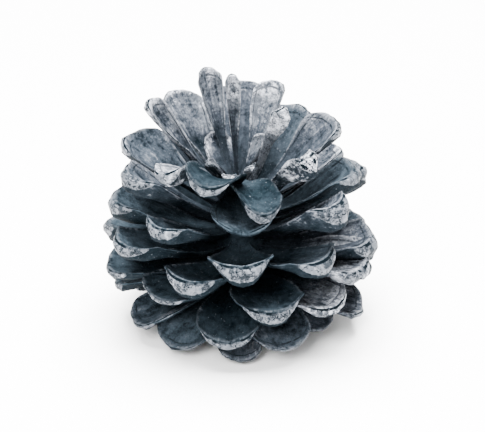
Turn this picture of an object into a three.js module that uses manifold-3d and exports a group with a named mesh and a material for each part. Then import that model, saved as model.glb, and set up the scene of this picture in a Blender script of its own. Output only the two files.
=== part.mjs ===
// An open pine cone that stands on its lowest scales: one woody body, an axis with all its scales on it.
// Millimetres, +Z up. The origin is the middle of the stalk scar, the flat spot under the axis.
// Bearings are degrees round the axis, counter-clockwise from above. Bearing 0 points along -Y.

import * as THREE from "three";
import { mergeVertices } from "three/addons/utils/BufferGeometryUtils.js";
import Module from "manifold-3d";

const wasm = await Module();
wasm.setup();

// The spiral. Each scale sits above the one before, turned on by the golden angle.
const FIRST_SCALE = -8;
const LAST_SCALE = 59;
const GOLDEN_ANGLE = 137.55;
const FIRST_BEARING = 2.5;
const KNOT_STEP = 16;

// How the scales change up the cone: a value at scale -8, 8, 24, 40, 56 and 72, with a smooth curve between.
const TIP_RADIUS = [14.5, 27, 30.8, 30, 18.2, -19];
const TIP_HEIGHT = [1.2, 4.3, 18.4, 36.3, 53.5, 71];
const HALF_WIDTH = [5, 7.1, 7.8, 7.6, 4.8, 2];
const END_HEIGHT = [1.1, 1.7, 4.3, 3.9, 2.1, 1.4];
const BEND = [-26, -10, 12, 17, 6, -4];
const CUP = [0.1, 0.16, 0.3, 0.36, 0.42, 0.42];
const NARROW_TO = [0, 0, 0, 0.05, 0.26, 0.28];
const WIDEST_AT = [0.72, 0.72, 0.72, 0.74, 0.9, 0.92];
const END_ROUNDING = [0.8, 0.7, 0.42, 0.45, 0.95, 1];
const CORNER_ROUNDING = [1, 0.8, 0.25, 0.35, 1, 1];

// The axis: the radius of the woody core at each height, and where the scales leave it.
const CORE_PROFILE = [[4.2, 0], [5.4, 2.5], [6.4, 9], [6.3, 17], [5.2, 25], [3.7, 31], [2.3, 35], [1, 37]];
const CORE_TOP = 38.2;
const CORE_SIDES = 16;
const SEAT_HEIGHT = 3.2;
const SEAT_STEP = 0.46;
const SEAT_SINK = 0.35;

// The whole cone leans a little towards -X as it stands.
const LEAN = 0.05;

// The form of one scale, in parts of its own length and half width, with thicknesses in millimetres.
const ROOT_WIDTH = 0.26;
const BLADE_THICKNESS = 1.15;
const ROOT_THICKNESS = 2;
const RIM_THICKNESS = 0.8;
const THIN_FROM = 0.6;
const SWELLING_FROM = 0.62;
const SWELLING_HALF = 0.86;
const SWELLING_POWER = 2.4;
const PULL_FROM = 0.5;
const UNDERCUT = 0.4;
const KEEL_AT = 0.6;
const KEEL = 0.3;
const KNOB = 0.3;
const ARM = 0.36;

// Stations of the mesh along a scale, across it, and down its outer end.
const LENGTHWISE = [0, 0.4, 0.78, 1];
const CROSSWISE = [-1, -0.55, 0, 0.55, 1];
const MERGE_DISTANCE = 0.02;

// Scales that grew away from the rule. Turn, roll and bend are in degrees. Reach and lift move the tip, seat
// moves the root up the axis. Width and end are factors on the scale's width and on its swollen end's height.
// Widest is the place along the scale where its full width starts.
const DEPARTURES = {
  0: { turn: -5, reach: 3, lift: -0.5, width: 0.85 },
  3: { lift: 2.5 },
  5: { turn: -10, reach: 0.5 },
  8: { lift: 1 },
  13: { turn: 2, lift: 1.2, end: 1.65 },
  16: { turn: 3, lift: 3.5 },
  18: { turn: 2, lift: 5, end: 0.32 },
  21: { turn: 4, lift: 1.7 },
  23: { reach: 0.8, lift: 0.5, end: 0.5 },
  24: { reach: 1, lift: 2.5, bend: -16, width: 1.12 },
  26: { turn: -1, lift: 4, width: 0.85, end: 0.85 },
  29: { turn: 6, lift: 4, width: 0.85, end: 0.85 },
  31: { turn: -3, lift: 2, end: 0.65 },
  32: { turn: -8, lift: -2.5 },
  34: { turn: 2.5, width: 0.95 },
  36: { turn: 6, reach: -2.5, lift: 2, end: 0.85 },
  37: { turn: -4, lift: 7, width: 0.85, end: 1.25 },
  39: { turn: -2, lift: 0.8, width: 0.78, end: 0.75 },
  41: { reach: -3.5, lift: -1 },
  42: { turn: -15, reach: -2, lift: -2.5, seat: 10, bend: -12, end: 0.35 },
  43: { turn: -7, lift: 4.5 },
  44: { turn: 5, reach: -1, lift: 3.5 },
  45: { turn: 5 },
  47: { turn: -1.5, lift: 3, seat: 1, roll: -6, bend: -46, widest: 0.6, width: 0.9 },
  48: { turn: -6, reach: 1, lift: -6 },
  49: { turn: -3, reach: -0.3, lift: -1, roll: -16, width: 1.1 },
  50: { turn: 3, lift: 4, width: 0.62, end: 1.6 },
  51: { turn: -4, lift: 2.6, width: 1.2 },
  52: { turn: 3, reach: 1, lift: -2.8, roll: 12, bend: -24, width: 0.8, end: 1.2 },
  53: { turn: -1, reach: 1.8, lift: 0.6, roll: 18, width: 1.15 },
  54: { turn: -10, reach: 1 },
  55: { turn: 6, reach: 8, lift: -12, seat: 4, roll: -8, bend: -24, widest: 0.55, end: 1.8 },
  56: { lift: 1.3, width: 0.88 },
  57: { turn: -4, reach: 2.5, lift: 3, roll: -35, width: 0.62 },
  58: { turn: -9, lift: 3, width: 0.4, end: 1.5 },
  59: { turn: 10, reach: -0.5, lift: 3.2, width: 0.66 },
};

// The three lowest scales that the cone stands on, each on one point, and how far the others stay clear.
const FEET = [-3, -2, -1];
const CLEARANCE = 1;
const SETTLE_FROM = 0.2;

// The last scales round the apex.
const CROWN = [
  { bearing: 170, tipRadius: 2.5, tipHeight: 61.8, halfWidth: 1.6, roll: 20, endHeight: 2.2 },
  { bearing: -143, tipRadius: 8.5, tipHeight: 45.5, halfWidth: 4, roll: 0, cup: 0.15, widestAt: 0.6 },
  { bearing: 112, tipRadius: 8, tipHeight: 46.5, halfWidth: 2.4, roll: 0 },
  { bearing: -75, tipRadius: 6.5, tipHeight: 42, halfWidth: 2.2, roll: 0 },
  { bearing: 60, tipRadius: 5.5, tipHeight: 41.5, halfWidth: 2, roll: 0 },
  { bearing: -20, tipRadius: 5, tipHeight: 39.5, halfWidth: 2, roll: 0 },
];
const CROWN_FORM = { endHeight: 1.3, bend: 0, cup: 0.4, rounding: 1, corners: 1, narrowTo: 0.2, widestAt: 0.9 };
const CROWN_SEAT_DEPTH = 3;

const WOOD = new THREE.MeshStandardMaterial({ color: 0x6d757c, roughness: 0.7, metalness: 0.1 });

/** Seeded variation: the same number from -1 to 1 each time for one scale and one purpose. */
function vary(index, purpose) {
  const wave = Math.sin(index * 12.9898 + purpose * 78.233) * 43758.5453;
  return 2 * (wave - Math.floor(wave)) - 1;
}

/** A value at one scale, on the smooth curve through the knots that stand every KNOT_STEP scales. */
function along(knots, index) {
  const place = (index - FIRST_SCALE) / KNOT_STEP;
  const knot = Math.min(Math.floor(place), knots.length - 2);
  const start = knots[knot];
  const end = knots[knot + 1];
  const before = knot > 0 ? knots[knot - 1] : 2 * start - end;
  const after = knot + 2 < knots.length ? knots[knot + 2] : 2 * end - start;
  const points = [before, start, end, after].map((value) => new THREE.Vector2(value, 0));
  const t = place - knot;
  const curve = new THREE.SplineCurve(points);
  return curve.getPoint((1 + t) / 3).x;
}

/** The radius of the core at a height. */
function coreRadius(height) {
  for (let ring = 1; ring < CORE_PROFILE.length; ring += 1) {
    const [lowRadius, lowHeight] = CORE_PROFILE[ring - 1];
    const [highRadius, highHeight] = CORE_PROFILE[ring];
    if (height <= highHeight) {
      return THREE.MathUtils.mapLinear(height, lowHeight, highHeight, lowRadius, highRadius);
    }
  }
  return 0;
}

/** One scale of the spiral: its bearing, tip, size and bend. */
function spiralScale(index) {
  const plain = { turn: 0, reach: 0, lift: 0, seat: 0, roll: 0, bend: 0, width: 1, end: 1 };
  const natural = { turn: 2 * vary(index, 1), reach: 0.6 * vary(index, 2) };
  const departure = { ...plain, ...(DEPARTURES[index] ?? natural) };
  return {
    index,
    bearing: FIRST_BEARING + GOLDEN_ANGLE * index + departure.turn,
    seatHeight: SEAT_HEIGHT + SEAT_STEP * (index - FIRST_SCALE) + departure.seat,
    tipRadius: along(TIP_RADIUS, index) + departure.reach,
    tipHeight: along(TIP_HEIGHT, index) + departure.lift,
    halfWidth: along(HALF_WIDTH, index) * departure.width * (1 + 0.05 * vary(index, 3)),
    endHeight: along(END_HEIGHT, index) * departure.end,
    bend: along(BEND, index) + departure.bend + 4 * vary(index, 4),
    cup: along(CUP, index),
    roll: departure.roll + 5 * vary(index, 5),
    narrowTo: along(NARROW_TO, index),
    widestAt: departure.widest ?? along(WIDEST_AT, index),
    rounding: along(END_ROUNDING, index),
    corners: along(CORNER_ROUNDING, index),
  };
}

/** One of the last scales round the apex. */
function crownScale(scale) {
  return { ...CROWN_FORM, seatHeight: CORE_TOP - CROWN_SEAT_DEPTH, ...scale };
}

/** The middle line of a scale's upper face, as a curve of radius against height. */
function middleLine(scale) {
  const seat = new THREE.Vector2(SEAT_SINK * coreRadius(scale.seatHeight), scale.seatHeight);
  const tip = new THREE.Vector2(scale.tipRadius, scale.tipHeight);
  const chord = tip.clone().sub(seat);
  const bend = THREE.MathUtils.degToRad(scale.bend);
  const pivot = new THREE.Vector2();
  const leaving = chord.clone().multiplyScalar(ARM).rotateAround(pivot, -bend);
  const arriving = chord.clone().multiplyScalar(-ARM).rotateAround(pivot, bend);
  return new THREE.CubicBezierCurve(seat, seat.clone().add(leaving), tip.clone().add(arriving), tip);
}

/** How far the outer end is swollen at one place across the scale: full in the middle, thin at the sides. */
function swelling(scale, across) {
  const fullness = Math.max(1 - Math.pow(Math.abs(across) / SWELLING_HALF, SWELLING_POWER), 0);
  return RIM_THICKNESS + (scale.endHeight - RIM_THICKNESS) * fullness;
}

/** The share of the scale's length that is left at one place across it, since its margin is round. */
function marginShare(scale, across) {
  const chord = Math.hypot(scale.tipRadius, scale.tipHeight - scale.seatHeight);
  const pointed = across * across;
  const round = 1 - Math.sqrt(1 - pointed);
  const corner = THREE.MathUtils.lerp(pointed, round, scale.corners);
  return 1 - (scale.rounding * scale.halfWidth * corner) / chord;
}

/** A point of a scale: how far along and across it, how deep under the upper face, and how far pushed out. */
function scalePoint(scale, line, length, across, depth, push) {
  const station = length * marginShare(scale, across);
  const middle = line.getPoint(station);
  const forward = line.getTangent(station);
  const widening = THREE.MathUtils.smoothstep(station, scale.narrowTo, scale.widestAt);
  const half = scale.halfWidth * THREE.MathUtils.lerp(ROOT_WIDTH, 1, widening);
  const roll = THREE.MathUtils.degToRad(scale.roll) * THREE.MathUtils.smoothstep(station, 0.2, 0.8);
  const rise = scale.cup * half * across * across - depth;
  const side = across * half * Math.cos(roll) - rise * Math.sin(roll);
  const up = across * half * Math.sin(roll) + rise * Math.cos(roll);
  const radius = middle.x - forward.y * up + forward.x * push;
  const height = middle.y + forward.x * up + forward.y * push;
  const bearing = THREE.MathUtils.degToRad(scale.bearing);
  const x = radius * Math.sin(bearing) + side * Math.cos(bearing);
  const y = side * Math.sin(bearing) - radius * Math.cos(bearing);
  return [x - LEAN * height, y, height, length];
}

/** The closed outline of a scale cut lengthwise: along the top, down the outer end, back underneath. */
function lengthwiseLoop(scale, line, across) {
  const deep = swelling(scale, across);
  const loop = LENGTHWISE.map((length) => scalePoint(scale, line, length, across, 0, 0));
  const ridge = KEEL * THREE.MathUtils.lerp(1, KNOB, scale.corners) - KEEL_AT * UNDERCUT;
  loop.push(scalePoint(scale, line, 1, across, KEEL_AT * deep, ridge * deep));
  for (const length of [...LENGTHWISE].reverse()) {
    const thinning = THREE.MathUtils.smoothstep(length, 0, THIN_FROM);
    const blade = THREE.MathUtils.lerp(ROOT_THICKNESS, BLADE_THICKNESS, thinning);
    const edge = THREE.MathUtils.lerp(blade, RIM_THICKNESS, Math.abs(across));
    const depth = THREE.MathUtils.lerp(edge, deep, THREE.MathUtils.smoothstep(length, SWELLING_FROM, 1));
    const pull = UNDERCUT * deep * THREE.MathUtils.smoothstep(length, PULL_FROM, 1);
    loop.push(scalePoint(scale, line, length, across, depth, -pull));
  }
  return loop;
}

/** How far a low scale's end has to sink or rise so that it stands on the surface, or clear of it. */
function settling(scale, points) {
  const lowest = Math.min(...points.map((point) => point[2]));
  if (FEET.includes(scale.index)) {
    return -lowest;
  }
  return Math.max(CLEARANCE - lowest, 0);
}

/** A closed mesh of one scale, from its lengthwise loops. */
function scaleSolid(scale) {
  const line = middleLine(scale);
  const loops = CROSSWISE.map((across) => lengthwiseLoop(scale, line, across));
  const settle = settling(scale, loops.flat());
  for (const point of loops.flat()) {
    const length = point.pop();
    point[2] += settle * THREE.MathUtils.smoothstep(length, SETTLE_FROM, 1);
  }
  const round = loops[0].length;
  const last = (loops.length - 1) * round;
  const faces = [];
  for (let strip = 0; strip + 1 < loops.length; strip += 1) {
    for (let step = 0; step < round; step += 1) {
      const a = strip * round + step;
      const b = strip * round + ((step + 1) % round);
      faces.push(a, b, b + round, a, b + round, a + round);
    }
  }
  for (let step = 0; step + 1 < LENGTHWISE.length; step += 1) {
    const under = round - 1 - step;
    faces.push(step, under, under - 1, step, under - 1, step + 1);
    faces.push(last + step, last + under - 1, last + under, last + step, last + step + 1, last + under - 1);
  }
  const end = LENGTHWISE.length;
  faces.push(end - 1, end + 1, end, last + end - 1, last + end, last + end + 1);
  return solid(new Float32Array(loops.flat(2)), new Uint32Array(faces));
}

/** The woody core, turned about the axis and leaned like the scales. */
function coreSolid() {
  const outline = [[0, 0], ...CORE_PROFILE, [0, CORE_TOP]];
  const profile = outline.map(([radius, height]) => new THREE.Vector2(radius, height));
  let geometry = new THREE.LatheGeometry(profile, CORE_SIDES);
  geometry.rotateX(Math.PI / 2);
  geometry.deleteAttribute("normal");
  geometry.deleteAttribute("uv");
  geometry = mergeVertices(geometry, 1e-4);
  const places = geometry.getAttribute("position");
  for (let vertex = 0; vertex < places.count; vertex += 1) {
    places.setX(vertex, places.getX(vertex) - LEAN * places.getZ(vertex));
  }
  const kept = [];
  const index = geometry.index.array;
  for (let face = 0; face < index.length; face += 3) {
    const [a, b, c] = index.slice(face, face + 3);
    if (a !== b && b !== c && c !== a) {
      kept.push(a, b, c);
    }
  }
  return solid(places.array, new Uint32Array(kept));
}

/** A solid from a closed mesh, with its faces turned out. */
function solid(vertProperties, triVerts) {
  const place = (vertex) => new THREE.Vector3().fromArray(vertProperties, 3 * vertex);
  let volume = 0;
  for (let face = 0; face < triVerts.length; face += 3) {
    const [a, b, c] = triVerts.slice(face, face + 3);
    volume += place(a).dot(place(b).cross(place(c))) / 6;
  }
  const facing = volume > 0 ? triVerts : triVerts.slice().reverse();
  return new wasm.Manifold(new wasm.Mesh({ numProp: 3, vertProperties, triVerts: facing }));
}

/** The outer skin of a solid, so that small pockets closed in between scales are filled. */
function outerSkin(joined) {
  const shells = joined.decompose();
  return shells.reduce((largest, shell) => (shell.volume() > largest.volume() ? shell : largest));
}

/** All scales joined to the core. */
function coneGeometry() {
  const pieces = [coreSolid()];
  for (let index = FIRST_SCALE; index <= LAST_SCALE; index += 1) {
    pieces.push(scaleSolid(spiralScale(index)));
  }
  for (const scale of CROWN) {
    pieces.push(scaleSolid(crownScale(scale)));
  }
  const joined = outerSkin(wasm.Manifold.union(pieces));
  const mesh = joined.simplify(MERGE_DISTANCE).getMesh();
  const geometry = new THREE.BufferGeometry();
  geometry.setAttribute("position", new THREE.BufferAttribute(mesh.vertProperties, 3));
  geometry.setIndex(new THREE.BufferAttribute(mesh.triVerts, 1));
  return geometry;
}

const cone = new THREE.Mesh(coneGeometry(), WOOD);
cone.name = "cone";

const group = new THREE.Group();
group.add(cone);

export default group;
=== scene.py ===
# %% [markdown]
# # An open pine cone with a thin silver grey coat
#
# A pine cone is one grown body: a short woody axis, and on it some seventy scales that follow each other
# up a spiral. This lesson grows the scales with a Geometry Nodes tree. Each scale starts as the same
# blank, a flat closed tongue, and the tree bends, widens, hollows and swells it by a rule.
#
# The solid model of the cone is loaded first, and its size is printed.

# %% The frame
import math
from types import SimpleNamespace

import bpy
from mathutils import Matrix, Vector


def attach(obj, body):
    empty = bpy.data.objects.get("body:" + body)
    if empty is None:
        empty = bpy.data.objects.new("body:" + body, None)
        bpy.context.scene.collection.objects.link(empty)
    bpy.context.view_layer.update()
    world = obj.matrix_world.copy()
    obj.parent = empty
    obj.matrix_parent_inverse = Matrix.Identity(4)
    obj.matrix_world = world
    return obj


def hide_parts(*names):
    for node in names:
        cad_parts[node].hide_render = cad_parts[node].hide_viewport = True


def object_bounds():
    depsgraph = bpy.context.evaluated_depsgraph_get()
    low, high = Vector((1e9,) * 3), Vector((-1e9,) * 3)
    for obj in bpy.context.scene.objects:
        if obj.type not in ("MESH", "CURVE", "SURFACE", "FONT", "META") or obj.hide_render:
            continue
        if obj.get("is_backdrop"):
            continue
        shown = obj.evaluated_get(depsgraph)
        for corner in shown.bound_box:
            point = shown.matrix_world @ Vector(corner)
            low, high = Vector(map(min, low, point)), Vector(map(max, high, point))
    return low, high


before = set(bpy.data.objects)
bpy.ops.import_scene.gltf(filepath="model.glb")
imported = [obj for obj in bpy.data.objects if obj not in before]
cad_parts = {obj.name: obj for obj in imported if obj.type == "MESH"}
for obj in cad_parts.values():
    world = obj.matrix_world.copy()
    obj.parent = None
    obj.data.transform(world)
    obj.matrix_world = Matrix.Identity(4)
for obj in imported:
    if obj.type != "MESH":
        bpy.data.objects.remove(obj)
solid_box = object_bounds()
MM = 0.001
solid_sides = [round(side / MM, 1) for side in solid_box[1] - solid_box[0]]
print("the solid cone reaches", solid_sides, "mm each way")

# %% [markdown]
# ## The view
#
# The cone is seen from in front and a little above, from far off, so that near and far scales show at
# nearly one scale. A long lens gives that. The camera looks at a point close to the axis, a bit below
# the middle of the cone.

# %% Camera
VIEW_ELEVATION = math.radians(25.8)
VIEW_DISTANCE = 0.94
VIEW_LENS = 300
VIEW_TARGET = Vector((-0.3, 0, 27.1)) * MM


def add_camera():
    """A long lens in front of the cone, looking down at it."""
    data = bpy.data.cameras.new("camera")
    data.lens = VIEW_LENS
    data.clip_end = 10
    camera = bpy.data.objects.new("camera", data)
    back = Vector((0, -math.cos(VIEW_ELEVATION), math.sin(VIEW_ELEVATION)))
    camera.location = VIEW_TARGET + VIEW_DISTANCE * back
    camera.rotation_euler = (math.pi / 2 - VIEW_ELEVATION, 0, 0)
    bpy.context.scene.collection.objects.link(camera)
    bpy.context.scene.camera = camera
    return camera


print("camera at", [round(value, 3) for value in add_camera().location])

# %% [markdown]
# ## Where the scales stand
#
# Each scale is turned on from the one below by the golden angle and sits a little higher. Its reach,
# height, width and bend change smoothly up the cone, so each is a curve through a few knots, sixteen
# scales apart. The cone could also be modelled scale by scale, but a rule gives all of them at once, also
# those at the back. Places and widths are in millimetres here, and angles in degrees.

# %% The spiral rule
FIRST_SCALE = -8
LAST_SCALE = 59
GOLDEN_ANGLE = 137.55
FIRST_BEARING = 2.5
KNOT_STEP = 16
TIP_RADIUS = [14.5, 27, 30.8, 30, 18.2, -19]
TIP_HEIGHT = [1.2, 4.3, 18.4, 36.3, 53.5, 71]
HALF_WIDTH = [5, 7.1, 7.8, 7.6, 4.8, 2]
END_HEIGHT = [1.1, 1.7, 4.3, 3.9, 2.1, 1.4]
BEND = [-26, -10, 12, 17, 6, -4]
CUP = [0.1, 0.16, 0.3, 0.36, 0.42, 0.42]
NARROW_TO = [0, 0, 0, 0.05, 0.26, 0.28]
WIDEST_AT = [0.72, 0.72, 0.72, 0.74, 0.9, 0.92]
ROUNDING = [0.8, 0.7, 0.42, 0.45, 0.95, 1]
ROUND_CORNERS = [1, 0.8, 0.25, 0.35, 1, 1]
COAT = [0.48, 0.44, 0.12, 0.38, 0.9, 1]
CORE_PROFILE = [(4.2, 0), (5.4, 2.5), (6.4, 9), (6.3, 17), (5.2, 25), (3.7, 31), (2.3, 35), (1, 37)]
CORE_TOP = 38.2
CORE_TIP = 0.45
SEAT_HEIGHT = 3.2
SEAT_STEP = 0.46
SEAT_SINK = 0.35
ARM = 0.36
LEAN = 0.05


def vary(index, purpose):
    """Seeded variation: the same number from -1 to 1 each time for one scale and one purpose."""
    wave = math.sin(index * 12.9898 + purpose * 78.233) * 43758.5453
    return 2 * (wave - math.floor(wave)) - 1


def along(knots, index):
    """A value at one scale, on the smooth curve through the knots."""
    place = (index - FIRST_SCALE) / KNOT_STEP
    knot = min(math.floor(place), len(knots) - 2)
    start, end = knots[knot], knots[knot + 1]
    before = knots[knot - 1] if knot > 0 else 2 * start - end
    after = knots[knot + 2] if knot + 2 < len(knots) else 2 * end - start
    share = place - knot
    leaving, arriving = (end - before) / 2, (after - start) / 2
    cubic = 2 * (start - end) + leaving + arriving
    square = 3 * (end - start) - 2 * leaving - arriving
    return start + share * (leaving + share * (square + share * cubic))


def core_radius(height):
    """The radius of the core at a height."""
    for (low_radius, low), (high_radius, high) in zip(CORE_PROFILE, CORE_PROFILE[1:]):
        if height <= high:
            return low_radius + (high_radius - low_radius) * (height - low) / (high - low)
    return 0


print("tips reach", round(along(TIP_RADIUS, 24), 1), "mm from the axis at scale 24")

# %% [markdown]
# No cone keeps to its rule. Some scales are turned aside, lifted or stunted, and the last six, round the
# apex, are small. These departures are listed one by one. Where there is none, a small seeded draw turns
# the scale and moves its tip, and another varies the width, bend and roll of every scale of the spiral. The
# lowest scales are settled one by one too, so that the cone stands on three of them and the others stay
# just clear of the floor.

# %% Departures from the rule
# A few values here paint light. The coat of 16 and 24, which lie in shade, is raised to lighten them, and
# the coat of 42, 47 and 55, whose hollow faces the lamp above lights strongly, is lowered to darken them.
# The values of 1.1 and more that brighten the knobs of 50, 57 and 58 and of the first two crown scales are
# painted highlights.
DEPARTURES = {
    0: {"turn": -5, "reach": 3, "lift": -0.5, "width": 0.85},
    3: {"lift": 2.5},
    5: {"turn": -10, "reach": 0.5},
    8: {"lift": 1},
    13: {"turn": 2, "lift": 1.2, "end": 1.65, "coat": -0.08},
    16: {"turn": 3, "lift": 3.5, "coat": 0.8},
    18: {"turn": 2, "lift": 5, "end": 0.32, "coat": 0},
    21: {"turn": 4, "lift": 1.7, "coat": -0.04},
    23: {"reach": 0.8, "lift": 0.5, "end": 0.5},
    24: {"reach": 1, "lift": 2.5, "bend": -16, "width": 1.12, "coat": 0.8},
    26: {"turn": -1, "lift": 4, "width": 0.85, "end": 0.85},
    29: {"turn": 6, "lift": 4, "width": 0.85, "end": 0.85, "coat": 0.36},
    31: {"turn": -3, "lift": 2, "end": 0.65},
    32: {"turn": -8, "lift": -2.5, "coat": 0.36},
    34: {"turn": 2.5, "width": 0.95},
    36: {"turn": 6, "reach": -2.5, "lift": 2, "end": 0.85},
    37: {"turn": -4, "lift": 7, "width": 0.85, "end": 1.25, "coat": 0.42},
    39: {"turn": -2, "lift": 0.8, "width": 0.78, "end": 0.75},
    41: {"reach": -3.5, "lift": -1},
    42: {"turn": -15, "reach": -2, "lift": -2.5, "seat": 10, "bend": -12, "end": 0.35,
         "coat": 0.32, "polish": 0},
    43: {"turn": -7, "lift": 4.5},
    44: {"turn": 5, "reach": -1, "lift": 3.5},
    45: {"turn": 5, "coat": 0.08, "polish": 0.75},
    47: {"turn": -1.5, "lift": 3, "seat": 1, "roll": -6, "bend": -46, "widest": 0.6, "width": 0.9,
         "coat": -0.15},
    48: {"turn": -6, "reach": 1, "lift": -6},
    49: {"turn": -3, "reach": -0.3, "lift": -1, "roll": -16, "width": 1.1, "coat": 0.58},
    50: {"turn": 3, "lift": 4, "width": 0.62, "end": 1.6, "polish": 1.5},
    51: {"turn": -4, "lift": 2.6, "width": 1.2, "coat": 0.62},
    52: {"turn": 3, "reach": 1, "lift": -2.8, "roll": 12, "bend": -24, "width": 0.8, "end": 1.2},
    53: {"turn": -1, "reach": 1.8, "lift": 0.6, "roll": 18, "width": 1.15, "coat": 0.35},
    54: {"turn": -10, "reach": 1},
    55: {"turn": 6, "reach": 8, "lift": -12, "seat": 4, "roll": -8, "bend": -24, "widest": 0.55, "end": 1.8,
         "coat": -0.15, "polish": 0.9},
    56: {"lift": 1.3, "width": 0.88},
    57: {"turn": -4, "reach": 2.5, "lift": 3, "roll": -35, "width": 0.62, "polish": 1.2},
    58: {"turn": -9, "lift": 3, "width": 0.4, "end": 1.5, "coat": 1.1, "polish": 1.5},
    59: {"turn": 10, "reach": -0.5, "lift": 3.2, "width": 0.66},
}
SETTLING = {-8: 0.5, -7: 0.26, -6: 0.15, -5: 0.07, -3: -1.13, -2: -1.15, -1: -1.25, 0: 0.2}
CROWN = [
    {"bearing": 170, "tip": (2.5, 61.8), "half_width": 1.6, "roll": 20, "end_height": 2.2,
     "coat": 1.2, "polish": 1.5},
    {"bearing": -143, "tip": (8.5, 45.5), "half_width": 4, "cup": 0.15, "widest_at": 0.6, "polish": 1.35},
    {"bearing": 112, "tip": (8, 46.5), "half_width": 2.4},
    {"bearing": -75, "tip": (6.5, 42), "half_width": 2.2},
    {"bearing": 60, "tip": (5.5, 41.5), "half_width": 2},
    {"bearing": -20, "tip": (5, 39.5), "half_width": 2},
]
CROWN_FORM = {"seat_height": CORE_TOP - 3, "end_height": 1.3, "bend": 0, "cup": 0.4, "roll": 0}
CROWN_FORM |= {"rounding": 1, "round_corners": 1, "narrow_to": 0.2, "widest_at": 0.9}
CROWN_FORM |= {"coat": 0.85, "polish": 1}
TURN_VARIATION = 2
REACH_VARIATION = 0.6
WIDTH_VARIATION = 0.05
BEND_VARIATION = 4
ROLL_VARIATION = 5


def spiral_scale(index):
    """One scale of the spiral: its bearing, tip, size and bend."""
    natural = {"turn": TURN_VARIATION * vary(index, 1), "reach": REACH_VARIATION * vary(index, 2)}
    departure = DEPARTURES.get(index, natural)
    radius = along(TIP_RADIUS, index) + departure.get("reach", 0)
    height = along(TIP_HEIGHT, index) + departure.get("lift", 0)
    width = departure.get("width", 1) * (1 + WIDTH_VARIATION * vary(index, 3))
    return {
        "number": index,
        "bearing": FIRST_BEARING + GOLDEN_ANGLE * index + departure.get("turn", 0),
        "seat_height": SEAT_HEIGHT + SEAT_STEP * (index - FIRST_SCALE) + departure.get("seat", 0),
        "tip": (radius, height),
        "half_width": along(HALF_WIDTH, index) * width,
        "end_height": along(END_HEIGHT, index) * departure.get("end", 1),
        "bend": along(BEND, index) + departure.get("bend", 0) + BEND_VARIATION * vary(index, 4),
        "cup": along(CUP, index),
        "roll": departure.get("roll", 0) + ROLL_VARIATION * vary(index, 5),
        "rounding": along(ROUNDING, index),
        "round_corners": along(ROUND_CORNERS, index),
        "coat": departure.get("coat", along(COAT, index)),
        "polish": departure.get("polish", 1),
        "narrow_to": along(NARROW_TO, index),
        "widest_at": departure.get("widest", along(WIDEST_AT, index)),
    }


scales = [spiral_scale(index) for index in range(FIRST_SCALE, LAST_SCALE + 1)]
scales += [{"number": LAST_SCALE + 1 + order, **CROWN_FORM, **row} for order, row in enumerate(CROWN)]
print(len(scales), "scales")

# %% [markdown]
# ## Seats
#
# The node tree needs one point for each scale, with the scale's numbers on it as attributes. The middle
# line of a scale is a Bezier curve in its own upright plane, so its four points are vectors of radius and
# height. The coat is a little thicker on the scales that face +X. This is painted light: it makes the side
# of the cone that faces +X lighter, as if more light fell on it.

# %% Seats as a mesh of loose points
PLAN_NUMBERS = ["number", "bearing", "half_width", "narrow_to", "widest_at", "end_height", "cup", "roll"]
PLAN_NUMBERS += ["end_round", "round_corners", "coat", "polish", "settle"]
PLAN_POINTS = ["seat", "leave", "arrive", "tip"]
# Painted light: extra coat that lightens the scales facing +X.
PAINTED_SIDE_LIGHT = 0.3
COAT_VARIATION = 0.08


def bezier_points(scale):
    """The four points of a scale's middle line: x is the radius, z is the height."""
    seat = Vector((SEAT_SINK * core_radius(scale["seat_height"]), 0, scale["seat_height"]))
    tip = Vector((scale["tip"][0], 0, scale["tip"][1]))
    chord = ARM * (tip - seat)
    bend = math.radians(scale["bend"])
    down = Vector((chord.x * math.cos(bend) + chord.z * math.sin(bend), 0,
                   chord.z * math.cos(bend) - chord.x * math.sin(bend)))
    up = Vector((chord.x * math.cos(bend) - chord.z * math.sin(bend), 0,
                 chord.z * math.cos(bend) + chord.x * math.sin(bend)))
    return {"seat": seat, "leave": seat + down, "arrive": tip - up, "tip": tip}


def seat_values(scale):
    """Everything that the tree reads for one scale, in metres and radians."""
    values = {name: point * MM for name, point in bezier_points(scale).items()}
    values["number"] = scale["number"]
    values["bearing"] = math.radians(scale["bearing"])
    values["half_width"] = scale["half_width"] * MM
    values["end_height"] = scale["end_height"] * MM
    values["cup"] = scale["cup"]
    values["narrow_to"] = scale["narrow_to"]
    values["widest_at"] = scale["widest_at"]
    values["polish"] = scale["polish"]
    values["end_round"] = scale["rounding"] * values["half_width"] / (values["tip"] - values["seat"]).length
    values["round_corners"] = scale["round_corners"]
    values["settle"] = SETTLING.get(scale["number"], 0) * MM
    values["roll"] = math.radians(scale["roll"])
    facing = max(math.sin(values["bearing"]), 0)
    # The second share is painted light on the scales that face +X.
    values["coat"] = scale["coat"] + PAINTED_SIDE_LIGHT * facing * facing + COAT_VARIATION * vary(scale["number"], 6)
    return values


def make_seats():
    """A mesh with one loose point for each scale."""
    rows = [seat_values(scale) for scale in scales]
    mesh = bpy.data.meshes.new("seats")
    mesh.from_pydata([row["seat"] for row in rows], [], [])
    for name in PLAN_NUMBERS:
        layer = mesh.attributes.new(name, "FLOAT", "POINT")
        layer.data.foreach_set("value", [row[name] for row in rows])
    for name in PLAN_POINTS:
        layer = mesh.attributes.new(name, "FLOAT_VECTOR", "POINT")
        layer.data.foreach_set("vector", [value for row in rows for value in row[name]])
    return mesh


seats = make_seats()
print(len(seats.vertices), "seats with", len(seats.attributes), "attributes")

# %% [markdown]
# ## The blank
#
# A scale is a closed tongue with an upper face, a lower face and a rim that runs round the two sides and
# the outer end. The blank holds no real size: each of its points only says how far along the scale it is,
# how far across, and how far down the rim. Points crowd towards the edges, where the form turns quickest.

# %% The blank mesh
ALONG_STEPS = 21
ACROSS_STEPS = 20
RIM_STEPS = 5
CROWDING = 1.5


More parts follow.
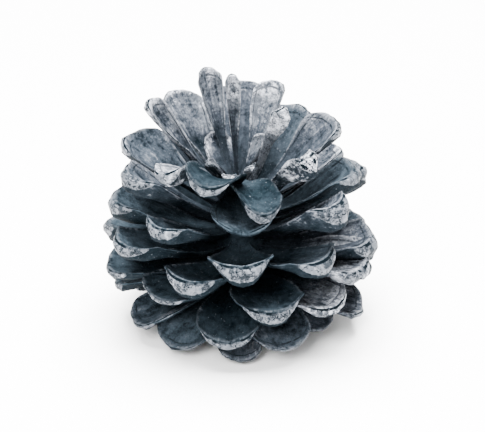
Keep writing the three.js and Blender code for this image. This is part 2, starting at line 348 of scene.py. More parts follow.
def blank_points():
    """The (length, across, down) values of the blank, and the place of each in the list."""
    lengths = [1 - (1 - step / ALONG_STEPS) ** CROWDING for step in range(ALONG_STEPS + 1)]
    acrosses = [-math.cos(math.pi * step / ACROSS_STEPS) for step in range(ACROSS_STEPS + 1)]
    places, points = {}, []
    for level in range(RIM_STEPS + 1):
        for i, length in enumerate(lengths):
            for j, across in enumerate(acrosses):
                on_rim = i == ALONG_STEPS or j in (0, ACROSS_STEPS)
                if level in (0, RIM_STEPS) or on_rim:
                    places[level, i, j] = len(points)
                    points.append((length, across, level / RIM_STEPS))
    return points, places


def blank_faces(places):
    """The faces of the upper side, the lower side, the rim and the root."""
    faces = []
    for i in range(ALONG_STEPS):
        for j in range(ACROSS_STEPS):
            corners = [(i, j), (i + 1, j), (i + 1, j + 1), (i, j + 1)]
            faces.append([places[0, a, b] for a, b in corners])
            faces.append([places[RIM_STEPS, a, b] for a, b in reversed(corners)])
    walk = [(i, 0) for i in range(ALONG_STEPS)]
    walk += [(ALONG_STEPS, j) for j in range(ACROSS_STEPS)]
    walk += [(i, ACROSS_STEPS) for i in range(ALONG_STEPS, -1, -1)]
    for level in range(RIM_STEPS):
        for (a, b), (c, d) in zip(walk, walk[1:]):
            low, high = level + 1, level
            faces.append([places[high, a, b], places[low, a, b], places[low, c, d], places[high, c, d]])
    root = [places[0, 0, j] for j in range(ACROSS_STEPS + 1)]
    root += [places[level, 0, ACROSS_STEPS] for level in range(1, RIM_STEPS)]
    root += [places[RIM_STEPS, 0, j] for j in range(ACROSS_STEPS, -1, -1)]
    root += [places[level, 0, 0] for level in range(RIM_STEPS - 1, 0, -1)]
    faces.append(root)
    return faces


def make_blank():
    """The blank as an object, hidden, with its three values as attributes."""
    points, places = blank_points()
    mesh = bpy.data.meshes.new("blank")
    mesh.from_pydata([(length, across, -down) for length, across, down in points], [], blank_faces(places))
    for axis, name in enumerate(("length", "across", "down")):
        layer = mesh.attributes.new(name, "FLOAT", "POINT")
        layer.data.foreach_set("value", [point[axis] for point in points])
    rim = mesh.attributes.new("rim", "FLOAT", "POINT")
    on_rim = [float(length == 1 or abs(across) > 0.999) for length, across, down in points]
    rim.data.foreach_set("value", on_rim)
    return bpy.data.objects.new("blank", mesh)


blank = make_blank()
print("the blank has", len(blank.data.vertices), "points and", len(blank.data.polygons), "faces")

# %% [markdown]
# ## The core
#
# The axis is a spindle that shows only at the apex and in the gaps. It is turned from the same profile as
# the solid model, with enough rings for the bumps that the tree adds.

# %% The core mesh
CORE_SIDES = 40
CORE_RING = 0.8


def make_core():
    """A spindle round the Z axis, closed at both ends."""
    count = round(CORE_TOP / CORE_RING)
    heights = [CORE_TOP * step / count for step in range(count)]
    points = [(0, 0, 0)]
    for height in heights:
        radius = max(core_radius(height), CORE_TIP)
        for side in range(CORE_SIDES):
            angle = 2 * math.pi * side / CORE_SIDES
            points.append((radius * math.cos(angle), radius * math.sin(angle), height))
    points.append((0, 0, CORE_TOP))
    faces = []
    for side in range(CORE_SIDES):
        after = (side + 1) % CORE_SIDES
        faces.append((0, 1 + after, 1 + side))
        for ring in range(count - 1):
            low, high = 1 + ring * CORE_SIDES, 1 + (ring + 1) * CORE_SIDES
            faces.append((low + side, low + after, high + after, high + side))
        last = 1 + (count - 1) * CORE_SIDES
        faces.append((last + side, last + after, len(points) - 1))
    mesh = bpy.data.meshes.new("core")
    mesh.from_pydata([Vector((x - LEAN * z, y, z)) * MM for x, y, z in points], [], faces)
    return bpy.data.objects.new("core", mesh)


core = make_core()
print("the core has", len(core.data.polygons), "faces")

# %% [markdown]
# ## Arithmetic in a node tree
#
# The rule for one scale is some fifty lines of arithmetic. Written as nodes one by one it would be hard
# to read, so a small class lets a number that runs through the tree be added and multiplied like any
# other number. Each sum still becomes one Math node.

# %% Numbers that run through a tree
class Flow:
    """A number in a node tree. Arithmetic on it adds Math nodes."""

    def __init__(self, tree, socket):
        self.tree = tree
        self.socket = socket

    def math(self, operation, *others):
        node = self.tree.nodes.new("ShaderNodeMath")
        node.operation = operation
        for slot, value in zip(node.inputs, (self, *others)):
            feed(self.tree, slot, value)
        return Flow(self.tree, node.outputs[0])

    def __add__(self, other):
        return self.math("ADD", other)

    def __sub__(self, other):
        return self.math("SUBTRACT", other)

    def __mul__(self, other):
        return self.math("MULTIPLY", other)

    def __rsub__(self, other):
        return (self * -1) + other

    def __pow__(self, power):
        return self.math("POWER", power)

    __radd__ = __add__
    __rmul__ = __mul__

    def step(self, start, end, low=0.0, high=1.0):
        """A smooth step from low to high while this number goes from start to end."""
        node = self.tree.nodes.new("ShaderNodeMapRange")
        node.interpolation_type = "SMOOTHSTEP"
        for slot, value in zip(node.inputs, (self, start, end, low, high)):
            feed(self.tree, slot, value)
        return Flow(self.tree, node.outputs[0])


def feed(tree, slot, value):
    """Links a number of the tree to a socket, or sets the socket to a plain value."""
    if isinstance(value, Flow):
        tree.links.new(value.socket, slot)
    else:
        slot.default_value = value


def blend(low, high, share):
    """low where share is 0, high where it is 1."""
    return low + (high - low) * share


def vector(tree, x=0.0, y=0.0, z=0.0):
    """A vector of three numbers."""
    node = tree.nodes.new("ShaderNodeCombineXYZ")
    for slot, value in zip(node.inputs, (x, y, z)):
        feed(tree, slot, value)
    return Flow(tree, node.outputs[0])


def noise(tree, place, scale, detail=2.0, roughness=0.5):
    """Soft noise from 0 to 1 at a place."""
    node = tree.nodes.new("ShaderNodeTexNoise")
    feed(tree, node.inputs["Vector"], place)
    node.inputs["Scale"].default_value = scale
    node.inputs["Detail"].default_value = detail
    node.inputs["Roughness"].default_value = roughness
    return Flow(tree, node.outputs[0])


print("a tree can now be written as arithmetic")

# %% [markdown]
# ## The form of one scale
#
# The root is narrow, and the scale widens to its rounded margin. The upper face is hollow, with its side
# edges raised. The outer end is swollen: from the margin it drops steeply, leans back under, and carries
# a ridge with a small boss. Round the apex the ends are blunt knobs, and the ridge is nearly gone. The
# scales could be carved one by one, but the same few lines give each its own form from the numbers on its
# seat. The middle line comes first. It gives a place and a direction at each station along the scale.

# %% The middle line
def named(tree, name, kind="FLOAT"):
    """An attribute of the mesh, read inside a geometry tree."""
    node = tree.nodes.new("GeometryNodeInputNamedAttribute")
    node.data_type = kind
    node.inputs["Name"].default_value = name
    return Flow(tree, node.outputs["Attribute"])


def parts_of(tree, value):
    """The x and z of a vector."""
    node = tree.nodes.new("ShaderNodeSeparateXYZ")
    feed(tree, node.inputs[0], value)
    return Flow(tree, node.outputs["X"]), Flow(tree, node.outputs["Z"])


def middle_line(tree, station):
    """Place and direction on the middle line, as radius and height."""
    points = [parts_of(tree, named(tree, name, "FLOAT_VECTOR")) for name in PLAN_POINTS]
    rest = 1 - station
    weights = [rest ** 3, rest * rest * station * 3, rest * station * station * 3, station ** 3]
    slopes = [rest * rest, rest * station * 2, station * station]
    place, heading = [], []
    for axis in (0, 1):
        values = [point[axis] for point in points]
        place.append(sum(weight * value for weight, value in zip(weights, values)))
        steps = [after - before for before, after in zip(values, values[1:])]
        heading.append(sum(slope * step for slope, step in zip(slopes, steps)))
    size = (heading[0] * heading[0] + heading[1] * heading[1]).math("SQRT")
    return place, [part.math("DIVIDE", size) for part in heading]


print("a middle line is drawn by", len(PLAN_POINTS), "points")

# %% [markdown]
# The outer edge of the blank is straight. Its corners are drawn back along the middle line, which rounds
# it, and a soft wave keeps any two ends from being alike. The scale is thickest at its root and in the
# swollen end, and thin at the edges.

# %% Outline and thickness
WAVINESS = 0.09
WAVES_ACROSS = 2.4
WAVE_SEED = 7.3
ROUND_CALM = 0.7
BLADE_THICKNESS = 1.1 * MM
ROOT_THICKNESS = 2 * MM
RIM_THICKNESS = 0.45 * MM
THIN_FROM = 0.6
SWELLING_FROM = 0.62
SWELLING_HALF = 0.86
SWELLING_POWER = 2.4


def rounded_station(tree, length, across):
    """How far along the middle line a point lies, once the outer end is rounded and a little wavy."""
    corners = named(tree, "round_corners")
    inside = (1 - across * across).math("MAXIMUM", 0)
    wave_place = vector(tree, across * WAVES_ACROSS, named(tree, "number") * WAVE_SEED)
    waviness = noise(tree, wave_place, 1.0, 3.0) - 0.5
    corner = blend(across * across, 1 - inside.math("SQRT"), corners)
    calm = WAVINESS * (1 - ROUND_CALM * corners)
    fan = 1 - named(tree, "end_round") * corner + calm * waviness * inside
    return (length * fan).math("MINIMUM", 1)


def scale_thickness(tree, length, across):
    """The depth of the swollen end, and the thickness of the scale at each point."""
    swollen = (1 - (across * (1 / SWELLING_HALF)).math("ABSOLUTE") ** SWELLING_POWER).math("MAXIMUM", 0)
    deep = RIM_THICKNESS + (named(tree, "end_height") - RIM_THICKNESS) * swollen
    blade = length.step(0, THIN_FROM, ROOT_THICKNESS, BLADE_THICKNESS)
    edge = blend(blade, RIM_THICKNESS, across.math("ABSOLUTE"))
    return deep, blend(edge, deep, length.step(SWELLING_FROM, 1))


print("the thickest outer end is", round(max(scale["end_height"] for scale in scales), 1), "mm high")

# %% [markdown]
# Seen from outside, the swollen end is what shows most of a scale. A ridge runs across it between the
# upper and the lower edge, with a boss in the middle, and its lower part is drawn back towards the axis.

# %% The outer end
OUTER_FROM = 0.93
KEEL_AT = 0.6
KEEL = 0.3
KNOB = 0.3
BOSS = 0.5 * MM
BOSS_HALF = 0.3
UNDERCUT = 0.45
UNDERCUT_FROM = 0.3
PULL_FROM = 0.5


def outward_push(tree, length, across, down, deep, bulge):
    """How far the outer end stands out: a ridge with a small boss, drawn back underneath."""
    keel = (down * (1 / KEEL_AT)).math("MINIMUM", (1 - down) * (1 / (1 - KEEL_AT)))
    boss = BOSS * (across * (1 / BOSS_HALF)).math("ABSOLUTE").step(0, 1, 1, 0) * bulge
    blunt = blend(1, KNOB, named(tree, "round_corners"))
    swell = length.step(OUTER_FROM, 1) * blunt * (KEEL * deep * keel + boss)
    return swell - UNDERCUT * deep * down.step(UNDERCUT_FROM, 1) * length.step(PULL_FROM, 1)


print("the ridge stands out by", round(100 * KEEL), "percent of the height of the end")

# %% [markdown]
# All of it comes together in the place of each point: a step along the middle line, one to the side and
# one up from it, rolled about that line and then swung round the axis to the bearing of the scale.

# %% The place of each point
ROOT_WIDTH = 0.26
RIM_SPREAD = 0.3
LIP = 0.3 * MM
LIP_SIDES_FROM = 0.72
LIP_END_FROM = 0.9
LIP_STARTS = (0.3, 0.6)
ROLL_STARTS = (0.2, 0.8)
SETTLE_FROM = 0.2


def scale_position(tree):
    """The place of each point of each scale."""
    length, across, down = (named(tree, name) for name in ("length", "across", "down"))
    station = rounded_station(tree, length, across)
    place, heading = middle_line(tree, station)
    waist = station.step(named(tree, "narrow_to"), named(tree, "widest_at"), ROOT_WIDTH, 1)
    half = named(tree, "half_width") * waist
    deep, thickness = scale_thickness(tree, length, across)
    bulge = (down * math.pi).math("SINE")
    push = outward_push(tree, length, across, down, deep, bulge)
    edge = across.math("ABSOLUTE").step(LIP_SIDES_FROM, 1).math("MAXIMUM", length.step(LIP_END_FROM, 1))
    lip = LIP * edge * length.step(*LIP_STARTS)
    rise = named(tree, "cup") * half * across * across + lip * (1 - down) - down * thickness
    rounded = across * (half + RIM_SPREAD * thickness * bulge)
    roll = named(tree, "roll") * station.step(*ROLL_STARTS)
    side = rounded * roll.math("COSINE") - rise * roll.math("SINE")
    up = rounded * roll.math("SINE") + rise * roll.math("COSINE")
    radius = place[0] - heading[1] * up + heading[0] * push
    height = place[1] + heading[0] * up + heading[1] * push
    height = height + named(tree, "settle") * length.step(SETTLE_FROM, 1)
    bearing = named(tree, "bearing")
    x = radius * bearing.math("SINE") + side * bearing.math("COSINE") - LEAN * height
    y = side * bearing.math("SINE") - radius * bearing.math("COSINE")
    return vector(tree, x, y, height)


print("at its root a scale has", round(100 * ROOT_WIDTH), "percent of its full width")

# %% [markdown]
# Relief comes second, once the form stands: every point moves a little along its normal. Streaks read the
# scale's own coordinates, so that they run with it. The crust of the outer ends and the dents read the
# place in space.

# %% Relief
STREAK_DEPTH = 0.7 * MM
STREAKS_ACROSS = 5
STREAKS_ALONG = 1.4
STREAK_SEED = 3.1
CRUST_DEPTH = 0.9 * MM
CRUST_SCALE = 480
DENT_DEPTH = 1.0 * MM
DENT_SCALE = 170


def relief(tree):
    """How far each point moves along its normal."""
    length, across, down = (named(tree, name) for name in ("length", "across", "down"))
    space = Flow(tree, tree.nodes.new("GeometryNodeInputPosition").outputs[0])
    outer = length.step(0.88, 0.98) * down.step(0, 0.15)
    own_place = (across * STREAKS_ACROSS, length * STREAKS_ALONG, named(tree, "number") * STREAK_SEED)
    streaks = noise(tree, vector(tree, *own_place), 1.0, 3.0) - 0.5
    streaks = streaks * STREAK_DEPTH * length.step(0, 0.3) * (1 - outer)
    crust = (noise(tree, space, CRUST_SCALE, 3.0, 0.6) - 0.5) * CRUST_DEPTH * outer
    dents = (noise(tree, space, DENT_SCALE, 3.0, 0.6) - 0.5) * DENT_DEPTH * length.step(0.2, 0.6)
    return streaks + crust + dents


deepest = (max(STREAK_DEPTH, CRUST_DEPTH) + DENT_DEPTH) / 2
print("relief moves a point by at most", round(deepest / MM, 2), "mm")

# %% [markdown]
# The tree itself is short. It puts a blank on each seat, gives each its form, joins the core and adds the
# relief. What would reach under the floor is lifted level with it, and the material comes last.

# %% The tree
TREE_INPUTS = {"Seats": "NodeSocketGeometry", "Blank": "NodeSocketObject", "Core": "NodeSocketObject",
               "Relief": "NodeSocketFloat"}


def join_nodes(tree, *steps):
    """Links geometry nodes one after another."""
    for first, second in zip(steps, steps[1:]):
        tree.links.new(first.outputs["Geometry"], second.inputs["Geometry"])
    return steps[-1]


def object_geometry(tree, source):
    """The mesh of an object chosen by an input of the tree."""
    node = tree.nodes.new("GeometryNodeObjectInfo")
    tree.links.new(source, node.inputs["Object"])
    return node.outputs["Geometry"]


def tree_position(tree):
    """The x, y and z of each point."""
    place = tree.nodes.new("GeometryNodeInputPosition")
    split = tree.nodes.new("ShaderNodeSeparateXYZ")
    tree.links.new(place.outputs[0], split.inputs[0])
    return [Flow(tree, split.outputs[axis]) for axis in "XYZ"]


def grow_tree(material):
    """The tree that grows every scale from the blank, joins the core and sets the material."""
    tree = bpy.data.node_groups.new("grow scales", "GeometryNodeTree")
    for name, kind in TREE_INPUTS.items():
        tree.interface.new_socket(name, in_out="INPUT", socket_type=kind)
    tree.interface.new_socket("Cone", in_out="OUTPUT", socket_type="NodeSocketGeometry")
    given = tree.nodes.new("NodeGroupInput")
    instances = tree.nodes.new("GeometryNodeInstanceOnPoints")
    tree.links.new(given.outputs["Seats"], instances.inputs["Points"])
    tree.links.new(object_geometry(tree, given.outputs["Blank"]), instances.inputs["Instance"])
    realize = tree.nodes.new("GeometryNodeRealizeInstances")
    tree.links.new(instances.outputs["Instances"], realize.inputs["Geometry"])
    form = tree.nodes.new("GeometryNodeSetPosition")
    feed(tree, form.inputs["Position"], scale_position(tree))
    tree.links.new(realize.outputs["Geometry"], form.inputs["Geometry"])
    join = tree.nodes.new("GeometryNodeJoinGeometry")
    tree.links.new(form.outputs["Geometry"], join.inputs["Geometry"])
    tree.links.new(object_geometry(tree, given.outputs["Core"]), join.inputs["Geometry"])
    rough = tree.nodes.new("GeometryNodeSetPosition")
    normal = tree.nodes.new("GeometryNodeInputNormal")
    offset = tree.nodes.new("ShaderNodeVectorMath")
    offset.operation = "SCALE"
    tree.links.new(normal.outputs[0], offset.inputs[0])
    feed(tree, offset.inputs["Scale"], relief(tree) * Flow(tree, given.outputs["Relief"]))
    tree.links.new(offset.outputs[0], rough.inputs["Offset"])
    level = tree.nodes.new("GeometryNodeSetPosition")
    x, y, z = tree_position(tree)
    feed(tree, level.inputs["Position"], vector(tree, x, y, z.math("MAXIMUM", 0)))
    smooth = tree.nodes.new("GeometryNodeSetShadeSmooth")
    finish = tree.nodes.new("GeometryNodeSetMaterial")
    finish.inputs["Material"].default_value = material
    join_nodes(tree, join, rough, level, smooth, finish)
    result = tree.nodes.new("NodeGroupOutput")
    tree.links.new(finish.outputs["Geometry"], result.inputs["Cone"])
    return tree


print("the tree takes", ", ".join(TREE_INPUTS).lower())

# %% [markdown]
# ## The finish
#
# The wood is dark blue green, nearly black in the depths of the cone. A thin silver grey coat lies on
# what faces outwards: full on the swollen ends and on the long upright scales of the crown, thin and
# dusty on the hollow faces lower down. The coat could be painted by hand, but masks made from noise and
# from a scale's own coordinates suit every scale at once. First come the colours and what the masks read.

# %% Colours and noises of the finish
WOOD_COLOUR = (0.001, 0.0027, 0.004, 1)
GRAIN_COLOUR = (0.0045, 0.0081, 0.0106, 1)
# Painted shade: it darkens the lower faces of the scales and the grooves under the rims, and the worn spots
# too.
SHADE_AND_WEAR_COLOUR = (0.0009, 0.0024, 0.0035, 1)
DUST_COLOUR = (0.028, 0.039, 0.049, 1)
HAZE_COLOUR = (0.029, 0.034, 0.043, 1)
COAT_COLOUR = (0.05, 0.0565, 0.066, 1)
# The colour of the painted highlights on the coat.
HIGHLIGHT_COLOUR = (0.42, 0.44, 0.485, 1)
CLOUD_SCALE = 170
FINE_SCALE = 700
CRACK_SCALE = 240
PIT_SCALE = 430
SPECK_SCALE = 1700
SWAY = 0.5
STREAK_STRETCH = (6, 2, 3.1)
BRUSH_STRETCH = (7, 5, 1.7)


def attribute(tree, name):
    """An attribute of the mesh, read inside a material."""
    node = tree.nodes.new("ShaderNodeAttribute")
    node.attribute_name = name
    return Flow(tree, node.outputs["Fac"])


def colour_mix(tree, share, low, high):
    """A colour between two others."""
    node = tree.nodes.new("ShaderNodeMix")
    node.data_type = "RGBA"
    feed(tree, node.inputs["Factor"], share)
    feed(tree, node.inputs[6], low)
    feed(tree, node.inputs[7], high)
    return Flow(tree, node.outputs[2])


def stretched(tree, values, factors):
    """A vector of three numbers, each times its own factor."""
    return vector(tree, *(value * factor for value, factor in zip(values, factors)))


def surface_values(tree):
    """What the masks read: the scale's own coordinates and numbers, and noises on these and in space."""
    names = ("length", "across", "down", "number", "coat", "polish", "rim")
    at = SimpleNamespace(**{name: attribute(tree, name) for name in names})
    at.space = Flow(tree, tree.nodes.new("ShaderNodeTexCoord").outputs["Object"])
    at.cloud = noise(tree, at.space, CLOUD_SCALE, 5.0, 0.65)
    own_place = (at.across + SWAY * (at.cloud - 0.5), at.length, at.number)
    at.streaks = noise(tree, stretched(tree, own_place, STREAK_STRETCH), 1.0, 6.0, 0.7)
    at.brush = noise(tree, stretched(tree, own_place, BRUSH_STRETCH), 1.0, 5.0, 0.7)
    at.fine = noise(tree, at.space, FINE_SCALE, 4.0, 0.75)
    at.mottle = 0.45 * at.cloud + 0.3 * at.fine + 0.25 * at.streaks
    at.side = at.across.math("ABSOLUTE")
    at.under = at.down.step(0.3, 0.7)
    return at


print("the finest specks are about", round(1 / SPECK_SCALE / MM, 1), "mm across")

# %% [markdown]
# Each mask is 0 where its finish is missing, and 1 or a little more where it is full. The coat lies in
# patches, more of them where its share is high. It is fullest on the swollen ends, and a thin bright edge
# runs round the margin: coat, with a painted highlight on it.

# %% Where the coat lies
EDGE_BARE = 0.68
EDGE_SPAN = 0.36
FACE_COVER = 0.95
FACE_LOSS = 0.12
FACE_SOFTNESS = 0.06
END_COVER = 0.95
END_SOFTNESS = 0.05
END_ZONE = (0.88, 0.96)
MARGIN_SIDES = (0.92, 0.97)
MARGIN_END = (0.965, 0.99)


def patches(value, share, softness):
    """A mask that covers about the given share of the surface, where a noise is high."""
    edge = EDGE_BARE - EDGE_SPAN * share
    return value.step(edge - softness, edge + softness)


def band(value, start, end, softness):
    """1 between two values, 0 outside."""
    return value.step(start - softness, start) * value.step(end, end + softness, 1, 0)


def swollen_end(at):
    """The outer end of a scale, below its margin."""
    end = at.length.step(*END_ZONE) * at.down.step(0.08, 0.2) * at.down.step(0.7, 0.98, 1.0, 0.0)
    return end * at.side.step(0.7, 0.94, 1, 0.1) * at.polish


def coated_face(at):
    """How much coat the two faces carry: less in the hollow, near the root and underneath."""
    upper, lower = at.length.step(0.25, 0.9, 0.2, 1.0), at.length.step(0.1, 0.6, 0.4, 1.0)
    hollow = blend(0.7, 1.05, at.side * at.side) * blend(upper, lower, at.under)
    return at.coat * hollow * blend(1, 0.1 + 0.85 * at.coat, at.under)


def margin_coat_and_highlight(at):
    """The thin edge round the sides and the outer end: coat, with a painted highlight on it."""
    margin = at.side.step(*MARGIN_SIDES).math("MAXIMUM", at.length.step(*MARGIN_END))
    margin = margin * at.down.step(0.15, 0.3, 1, 0) * at.length.step(0.3, 0.7)
    return margin * at.fine.step(0.4, 0.52) * (0.3 + 0.7 * at.coat) * at.polish


print("the bright margin begins at", round(100 * MARGIN_END[0], 1), "percent of a scale's length")

# %% [markdown]
# Wear comes next. A broken dark line runs inside the margin of the upper face, and painted shade darkens
# the groove under the rim. Fine cracks and pits go through the coat. Painted highlights lie where a
# polished
# coat would catch the light: brushed patches, the knobs of a few upright scales and the thin edges. Dust
# takes the rest, most of it towards the outer ends, and near the root a lighter tone is painted light.

# %% Wear, painted highlights and dust
LINE_SIDES = (0.85, 0.88, 0.025)
LINE_END = (0.94, 0.95, 0.008)
GROOVE = (0.08, 0.2, 0.06)
CRACK_WIDTH = (0.006, 0.03)
PIT_EDGE = (0.51, 0.57)
PIT_DEPTH = 0.8
FACE_WEAR = 0.58
KNOB_ZONE = (0.78, 0.94)
TIPPED_ZONE = (0.74, 0.86)
TIPPED_HIGHLIGHT = (1.1, 1.5)


def dark_lines(at):
    """Broken dark lines: one inside the margin of the upper face, and one in the groove of the rim, painted
    shade.
    """
    line = band(at.side, *LINE_SIDES).math("MAXIMUM", band(at.length, *LINE_END))
    line = line * at.down.step(0, 0.12, 1, 0) * at.fine.step(0.4, 0.5)
    groove = at.rim * band(at.down, *GROOVE)
    outline = (line * at.coat.step(0, 0.5, 0.2, 0.9)).math("MAXIMUM", groove)
    return outline * at.cloud.step(0.4, 0.52) * at.length.step(0.3, 0.6)


def worn_spots(tree, at, end):
    """Fine cracks and pits, fullest on the swollen ends."""
    crack = (noise(tree, at.space, CRACK_SCALE, 5.0, 0.7) - 0.5).math("ABSOLUTE").step(*CRACK_WIDTH, 1, 0)
    pit = noise(tree, at.space, PIT_SCALE, 4.0, 0.8).step(*PIT_EDGE)
    return (pit * PIT_DEPTH).math("MAXIMUM", crack) * end.math("MAXIMUM", at.coat * FACE_WEAR)


def painted_highlights(at, end, margin):
    """Painted highlights on the coat: in brushed patches, on knobs and along the edges."""
    shine = at.brush.step(0.48, 0.6) * at.fine.step(0.4, 0.55) * at.cloud.step(0.42, 0.56)
    patchy = at.coat.step(0.7, 0.9) * at.cloud.step(0.48, 0.57)
    tipped = at.polish.step(*TIPPED_HIGHLIGHT) * at.length.step(*TIPPED_ZONE)
    knob = (at.length.step(*KNOB_ZONE) * patchy).math("MAXIMUM", tipped)
    highlight = (shine * blend(0.35, 0.27, at.coat)).math("MAXIMUM", knob * at.fine.step(0.4, 0.56) * 0.8)
    highlight = highlight.math("MAXIMUM", end * at.fine.step(0.42, 0.6) * 0.08) + 0.06 * at.streaks.step(0.35, 0.65)
    return highlight.math("MAXIMUM", margin * at.coat.step(0.4, 0.8) * 0.35)


def dust_and_fill_light_share(at, face, wear_and_groove_shade):
    """Dust on the wood: more towards the outer end, little underneath; near the root it is painted light.
    """
    dust_and_fill_light = (at.length.step(0.55, 0.98, 0.1, 0.6) + 2.4 * face) * at.mottle.step(0.36, 0.62)
    dust_and_fill_light = dust_and_fill_light * at.down.step(0.3, 0.7, 1, 0.25) * (1 - wear_and_groove_shade)
    # Near the root: painted light, which lifts the deep shade round the core.
    return dust_and_fill_light.math("MAXIMUM", at.length.step(0.3, 0.6, 0.4, 0) * at.mottle.step(0.3, 0.6))


print("cracks and pits take up to", round(100 * FACE_WEAR), "percent of the coat on the faces")

# %% [markdown]
# The material stacks the colours by these masks: wood with its grain and painted shade, dust on it,
# then the coat with its painted highlights. It hardly mirrors the lamps, because a dry cone is dull and
# the lamps are strong.

# %% The coated wood
MIRRORING = 0.01
METAL_SHARE = 0.35
SPECK_EDGE = (0.7, 0.76)
SPECK_SHARE = 0.5
GRAIN_EDGE = (0.43, 0.6)
DUSTY_COAT = (0.3, 0.7)
# How far the worn spots and the painted shade in the rim grooves go towards the darkest colour.
WEAR_AND_GROOVE_DARKENING = 0.85
DULL, SMOOTH = 0.65, 0.38
BUMP_DEPTH = 0.6 * MM
BUMP_STRENGTH = 0.9


def wood_colour(tree, at, wear_and_groove_shade, dust_and_fill_light):
    """Wood with lighter grain, darker worn spots, painted shade underneath and in the rim grooves, dust on
    it.
    """
    grain = (0.45 * at.fine + 0.3 * at.brush + 0.25 * at.cloud).step(*GRAIN_EDGE)
    wood = colour_mix(tree, grain, WOOD_COLOUR, GRAIN_COLOUR)
    # The lower faces get painted shade, which fades where the coat is thick.
    shade_and_wear = (at.under * at.coat.step(*DUSTY_COAT, 1, 0.3)).math("MAXIMUM", wear_and_groove_shade * WEAR_AND_GROOVE_DARKENING)
    bare = colour_mix(tree, shade_and_wear, wood, SHADE_AND_WEAR_COLOUR)
    dust_colour = colour_mix(tree, at.coat.step(*DUSTY_COAT), DUST_COLOUR, HAZE_COLOUR)
    return colour_mix(tree, dust_and_fill_light, bare, dust_colour)


def add_bump(tree, shader, height):
    """Fine bumps that only the light sees."""
    bump = tree.nodes.new("ShaderNodeBump")
    bump.inputs["Distance"].default_value = BUMP_DEPTH
    bump.inputs["Strength"].default_value = BUMP_STRENGTH
    feed(tree, bump.inputs["Height"], height)
    tree.links.new(bump.outputs[0], shader.inputs["Normal"])


def coated_wood():
    """Dark wood under a thin worn coat."""
    material = bpy.data.materials.new("coated wood")
    material.use_nodes = True
    tree = material.node_tree
    shader = tree.nodes["Principled BSDF"]
    shader.inputs["Specular IOR Level"].default_value = MIRRORING
    at = surface_values(tree)
    end, face, margin = swollen_end(at), coated_face(at), margin_coat_and_highlight(at)
    worn = worn_spots(tree, at, end)
    # Wear, and painted shade in the grooves of the rims.
    wear_and_groove_shade = worn.math("MAXIMUM", dark_lines(at))
    on_face = patches(at.mottle, FACE_COVER * face - FACE_LOSS, FACE_SOFTNESS)
    on_end = patches(at.mottle, end * END_COVER, END_SOFTNESS)
    silver = on_face.math("MAXIMUM", on_end).math("MAXIMUM", margin) * (1 - wear_and_groove_shade)
    speck = noise(tree, at.space, SPECK_SCALE, 1.0, 0.5).step(*SPECK_EDGE)
    wood_dust_and_painted_light = wood_colour(tree, at, wear_and_groove_shade, dust_and_fill_light_share(at, face, wear_and_groove_shade))
    # The coat, made brighter where the painted highlights lie.
    coat_with_highlights = colour_mix(tree, painted_highlights(at, end, margin), COAT_COLOUR, HIGHLIGHT_COLOUR)
    colour = colour_mix(tree, silver.math("MAXIMUM", speck * SPECK_SHARE), wood_dust_and_painted_light, coat_with_highlights)
    feed(tree, shader.inputs["Base Color"], colour)
    feed(tree, shader.inputs["Metallic"], silver * METAL_SHARE)
    feed(tree, shader.inputs["Roughness"], blend(DULL, SMOOTH, silver) + 0.2 * (at.fine - 0.5))
    add_bump(tree, shader, at.fine * 0.6 + 0.8 * at.streaks + at.cloud - 0.3 * worn)
    return material


finish = coated_wood()
print("the finish has", len(finish.node_tree.nodes), "nodes")

# %% [markdown]
# ## Growing the cone
#
# The tree runs on the seats. Its result is made a plain mesh, and the objects that it was grown from are
# removed, with the modifier.

# %% Grow
def set_input(modifier, name, value):
    """Sets a modifier's input by the name that the tree gives it."""
    sockets = {item.name: item.identifier for item in modifier.node_group.interface.items_tree}
    modifier[sockets[name]] = value


def grow_cone():
    """The finished cone as one plain mesh."""
    grower = bpy.data.objects.new("grower", seats)
    for source in (grower, blank, core):
        bpy.context.scene.collection.objects.link(source)
    modifier = grower.modifiers.new("grow", "NODES")
    modifier.node_group = grow_tree(finish)
    set_input(modifier, "Blank", blank)
    set_input(modifier, "Core", core)
    set_input(modifier, "Relief", 1.0)
    bpy.context.view_layer.update()
    evaluated = grower.evaluated_get(bpy.context.evaluated_depsgraph_get())
    mesh = bpy.data.meshes.new_from_object(evaluated)
    mesh.name = "cone"
    for source in (grower, blank, core):
        bpy.data.objects.remove(source)
    grown = bpy.data.objects.new("pine_cone", mesh)
    bpy.context.scene.collection.objects.link(grown)
    return grown


cone = grow_cone()
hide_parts("cone")
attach(cone, "root")
cone.data.calc_loop_triangles()
print("the cone has", len(cone.data.loop_triangles), "triangles")

# %% [markdown]
# ## Floor and light
#
# The cone stands on a plain white floor in soft light from all round. One broad lamp hangs above it, and
# a small weak one in front opens the shadows. The floor is only a stage, so it is marked as no part of
# the cone.

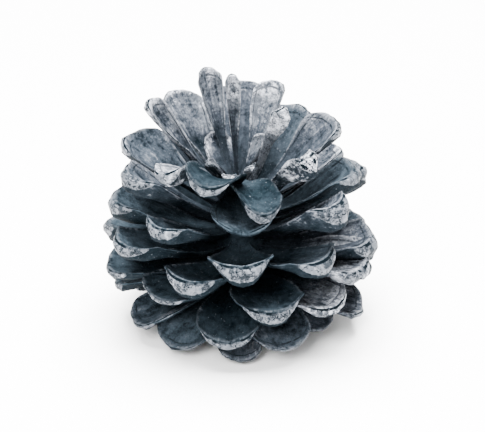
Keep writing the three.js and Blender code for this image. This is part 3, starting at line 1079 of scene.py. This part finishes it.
# %% Stage
FLOOR_REACH = 3
SKY_STRENGTH = 1.56
OVERHEAD_PLACE = (0, 0.05, 0.7)
OVERHEAD_SIZE = 0.6
OVERHEAD_POWER = 82
FRONT_PLACE = (-0.2, -0.6, 0.5)
FRONT_SIZE = 0.3
FRONT_POWER = 15


def add_floor():
    """A wide pale plane under the cone."""
    mesh = bpy.data.meshes.new("floor")
    corners = [(x * FLOOR_REACH, y * FLOOR_REACH, 0) for x, y in ((-1, -1), (1, -1), (1, 1), (-1, 1))]
    mesh.from_pydata(corners, [], [(0, 1, 2, 3)])
    material = bpy.data.materials.new("floor")
    material.use_nodes = True
    shader = material.node_tree.nodes["Principled BSDF"]
    shader.inputs["Base Color"].default_value = (0.95, 0.95, 0.95, 1)
    shader.inputs["Roughness"].default_value = 0.9
    mesh.materials.append(material)
    floor = bpy.data.objects.new("floor", mesh)
    bpy.context.scene.collection.objects.link(floor)
    floor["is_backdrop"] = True


def add_lamp(name, place, size, power):
    """A square lamp that points at the cone."""
    data = bpy.data.lights.new(name, "AREA")
    data.size = size
    data.energy = power
    lamp = bpy.data.objects.new(name, data)
    lamp.location = place
    lamp.rotation_euler = (VIEW_TARGET - Vector(place)).to_track_quat("-Z", "Y").to_euler()
    bpy.context.scene.collection.objects.link(lamp)


def add_sky(strength):
    """Even white light from all round."""
    world = bpy.data.worlds.new("sky")
    world.use_nodes = True
    background = world.node_tree.nodes["Background"]
    background.inputs["Color"].default_value = (1, 1, 1, 1)
    background.inputs["Strength"].default_value = strength
    bpy.context.scene.world = world


add_floor()
add_sky(SKY_STRENGTH)
add_lamp("overhead", OVERHEAD_PLACE, OVERHEAD_SIZE, OVERHEAD_POWER)
add_lamp("front", FRONT_PLACE, FRONT_SIZE, FRONT_POWER)
print("two lamps and an even sky")

# %% [markdown]
# ## Sizes
#
# Both boxes, of the solid cone and of the grown one, are printed. The grown cone has to stay in the
# space of the solid one.

# %% Sizes
visual_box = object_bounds()
visual_sides = [round(side / MM, 1) for side in visual_box[1] - visual_box[0]]
print("the grown cone reaches", visual_sides, "mm each way")
